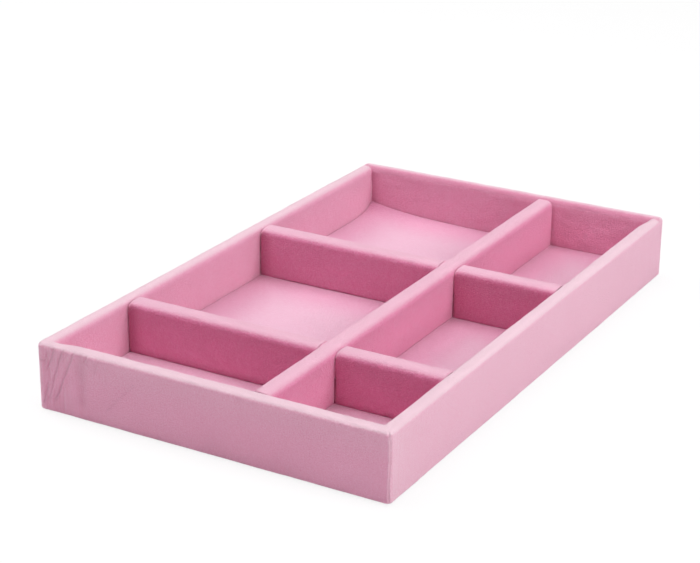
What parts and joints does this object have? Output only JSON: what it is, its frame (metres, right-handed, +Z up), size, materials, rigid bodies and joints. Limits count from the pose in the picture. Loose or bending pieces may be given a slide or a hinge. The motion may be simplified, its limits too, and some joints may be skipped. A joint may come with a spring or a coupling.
{
  "type": "jewelry tray",
  "caption": "Low open rectangular jewelry tray covered in pink velvet, with a lift-out grid of velvet dividers that parts it into compartments of different sizes.",
  "frame": {"origin": "middle of the underside, on the surface that the tray stands on", "axes": "+X to the right and +Y to the rear along the long sides, seen from the front; +Z up"},
  "size_m": [0.18, 0.3, 0.033],
  "materials": {
    "fibreboard": "raw fibreboard, matte",
    "divider_core": "raw fibreboard, matte",
    "card": "grey board, matte",
    "lining": "thin felted lining, matte",
    "pin_steel": "bright drawn wire",
    "wall_velvet": "short-pile velvet",
    "floor_velvet": "short-pile velvet",
    "divider_velvet": "short-pile velvet"
  },
  "bodies": {
    "tray": {"base_board": "fibreboard", "front_wall_board": "fibreboard", "rear_wall_board": "fibreboard", "left_wall_board": "fibreboard", "right_wall_board": "fibreboard", "corner_pins": "pin_steel", "base_pins": "pin_steel", "wall_velvet": "wall_velvet", "underside_infill": "card", "underside_cover": "lining", "floor_card": "card", "floor_velvet": "floor_velvet"},
    "cross_dividers": {"front_cross_board": "divider_core", "front_cross_velvet": "divider_velvet", "rear_cross_board": "divider_core", "rear_cross_velvet": "divider_velvet"},
    "long_divider": {"long_divider_board": "divider_core", "long_divider_velvet": "divider_velvet"}
  },
  "joints": [
    {"name": "grid_lift", "type": "slide", "parent": "tray", "child": "cross_dividers", "axis": [0, 0, 1], "range_m": [0, 0.03]},
    {"name": "long_divider_lift", "type": "slide", "parent": "cross_dividers", "child": "long_divider", "axis": [0, 0, 1], "range_m": [0, 0.016]}
  ]
}
